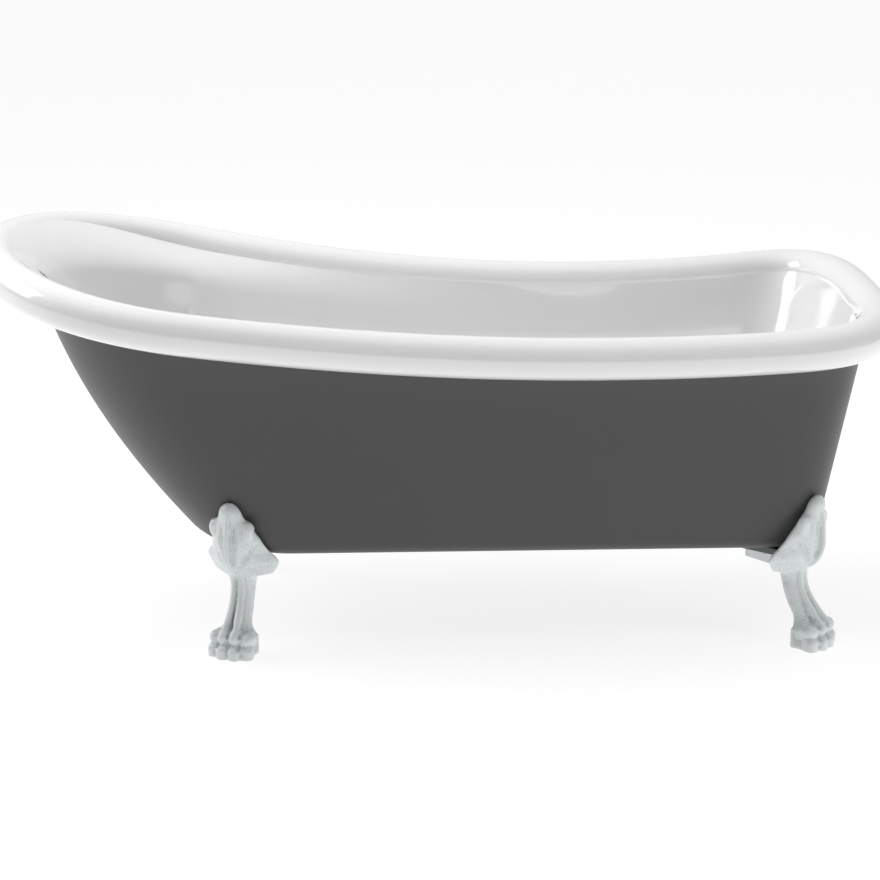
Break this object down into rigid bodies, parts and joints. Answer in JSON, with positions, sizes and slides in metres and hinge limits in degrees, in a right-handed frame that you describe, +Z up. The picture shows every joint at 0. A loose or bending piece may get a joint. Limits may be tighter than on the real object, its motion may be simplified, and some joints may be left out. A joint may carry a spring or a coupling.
{
  "type": "bathtub",
  "caption": "Free-standing slipper bath: white tub with a thick rolled rim raised at one end, dark grey outer skin, cast claw feet with leaf knees, click waste and overflow.",
  "frame": {"origin": "on the floor, under the middle of the bath's length and width", "axes": "+X along the bath to the low tap end, +Y across to the far long side, +Z up"},
  "size_m": [1.7001, 0.8456, 0.7506],
  "materials": {
    "tub_white": "gloss",
    "skin_grey": "satin",
    "board": "raw board",
    "foot_white": "satin white paint on a casting",
    "bracket": "grey paint",
    "zinc": "zinc plated",
    "brass": "turned",
    "chrome": "polished",
    "rubber": "matt",
    "black_plastic": "moulded",
    "white_plastic": "moulded"
  },
  "bodies": {
    "root": {"inner_tub": "tub_white", "outer_shell": "skin_grey", "base_board": "board", "foot_bolts": "zinc", "foot_washers": "zinc", "foot_inserts": "brass", "bracket_screws": "zinc", "leveller_lock_nuts": "zinc", "waste_flange": "chrome", "flange_seal": "rubber", "chamber_seal_top": "rubber", "chamber_seal_bottom": "rubber", "overflow_chamber": "white_plastic", "waste_backnut": "white_plastic", "plug_cartridge": "brass", "overflow_cover": "chrome", "overflow_seal": "rubber", "overflow_elbow": "white_plastic", "overflow_screw": "chrome", "overflow_hose": "white_plastic", "hose_clips": "zinc", "claw_foot_head_near": "foot_white", "foot_bracket_head_near": "bracket", "claw_foot_head_far": "foot_white", "foot_bracket_head_far": "bracket", "claw_foot_tap_near": "foot_white", "foot_bracket_tap_near": "bracket", "claw_foot_tap_far": "foot_white", "foot_bracket_tap_far": "bracket"},
    "leveller_head_near": {"leveller_pad_head_near": "black_plastic", "leveller_stud_head_near": "zinc"},
    "leveller_head_far": {"leveller_pad_head_far": "black_plastic", "leveller_stud_head_far": "zinc"},
    "leveller_tap_near": {"leveller_pad_tap_near": "black_plastic", "leveller_stud_tap_near": "zinc"},
    "leveller_tap_far": {"leveller_pad_tap_far": "black_plastic", "leveller_stud_tap_far": "zinc"},
    "plug": {"plug_cap": "chrome", "plug_seal": "rubber", "plug_stem": "brass"}
  },
  "joints": [
    {"name": "plug_lift", "type": "slide", "parent": "root", "child": "plug", "axis": [0, 0, 1], "range_m": [0, 0.009]},
    {"name": "level_head_near", "type": "slide", "parent": "root", "child": "leveller_head_near", "axis": [0, 0, -1], "range_m": [0, 0.01]},
    {"name": "level_head_far", "type": "slide", "parent": "root", "child": "leveller_head_far", "axis": [0, 0, -1], "range_m": [0, 0.01]},
    {"name": "level_tap_near", "type": "slide", "parent": "root", "child": "leveller_tap_near", "axis": [0, 0, -1], "range_m": [0, 0.01]},
    {"name": "level_tap_far", "type": "slide", "parent": "root", "child": "leveller_tap_far", "axis": [0, 0, -1], "range_m": [0, 0.01]}
  ]
}
